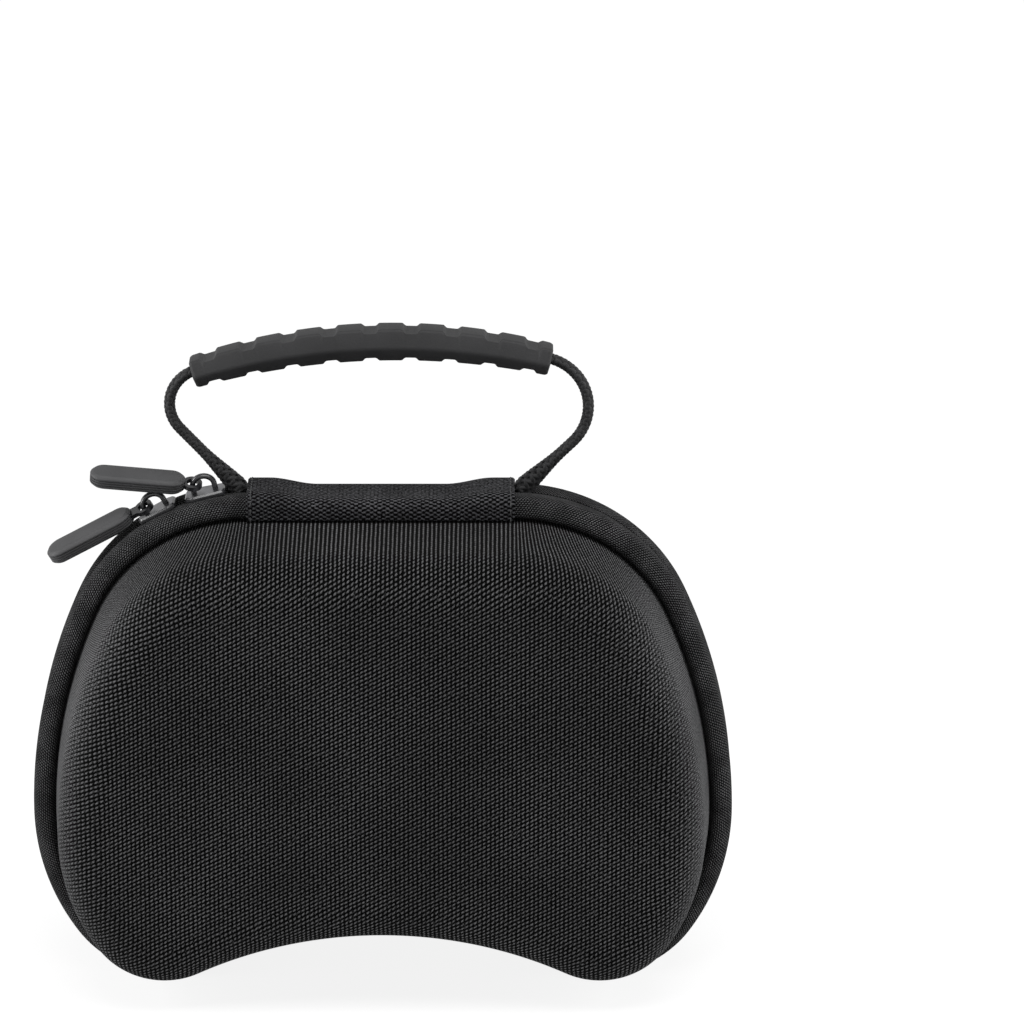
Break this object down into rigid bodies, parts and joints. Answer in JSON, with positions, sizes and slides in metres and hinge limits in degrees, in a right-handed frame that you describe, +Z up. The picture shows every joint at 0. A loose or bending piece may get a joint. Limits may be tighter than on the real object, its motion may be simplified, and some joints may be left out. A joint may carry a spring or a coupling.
{
  "type": "controller carrying case",
  "caption": "Moulded clamshell carrying case for a handheld controller, woven cover, zip round the rim, fabric hinge on top and a carrying handle.",
  "frame": {"origin": "under the middle of the case, on the surface it stands on", "axes": "+X to the right seen from the front, +Y towards the back, +Z up"},
  "size_m": [0.18, 0.0738, 0.1757],
  "materials": {
    "shell_fabric": "black ballistic nylon, woven",
    "tape_fabric": "black herringbone zip tape",
    "coil_nylon": "black nylon coil",
    "strip_webbing": "black coarse weave",
    "slider_metal": "black plated, worn bright at the edges",
    "bridge_metal": "black plated",
    "tab_rubber": "matt dark grey moulding",
    "grip_rubber": "matt black moulding",
    "cord_fabric": "black braided cord"
  },
  "bodies": {
    "base": {"back_shell": "shell_fabric", "zip_tape_back": "tape_fabric", "zip_coil_back": "coil_nylon", "hinge_strip": "strip_webbing", "slider_body_upper": "slider_metal", "slider_bridge_upper": "bridge_metal"},
    "lid": {"front_shell": "shell_fabric", "zip_tape_front": "tape_fabric", "zip_coil_front": "coil_nylon"},
    "slider_lower": {"slider_body_lower": "slider_metal", "slider_bridge_lower": "bridge_metal"},
    "pull_upper": {"pull_plate_upper": "bridge_metal", "pull_tab_upper": "tab_rubber"},
    "pull_lower": {"pull_plate_lower": "bridge_metal", "pull_tab_lower": "tab_rubber"},
    "handle": {"handle_grip": "grip_rubber", "handle_cord": "cord_fabric"}
  },
  "joints": [
    {"name": "lid_hinge", "type": "hinge", "parent": "base", "child": "lid", "pos_m": [0, 0, 0.132], "axis": [-1, 0, 0], "range_deg": [0, 85], "deforming": ["hinge_strip", "zip_tape_front", "zip_coil_front"]},
    {"name": "handle_swing", "type": "hinge", "parent": "base", "child": "handle", "pos_m": [0, 0, 0.1324], "axis": [-1, 0, 0], "range_deg": [-60, 60]},
    {"name": "slider_travel", "type": "hinge", "parent": "base", "child": "slider_lower", "pos_m": [-0.03394, 0, 0.083], "axis": [0, -1, 0], "range_deg": [0, 31]},
    {"name": "pull_upper_swing", "type": "hinge", "parent": "base", "child": "pull_upper", "pos_m": [-0.04537, 0, 0.1327], "axis": [0, 1, 0], "range_deg": [0, 38]},
    {"name": "pull_lower_swing", "type": "hinge", "parent": "slider_lower", "child": "pull_lower", "pos_m": [-0.0582, 0, 0.12786], "axis": [0, 1, 0], "range_deg": [-3, 20]}
  ]
}
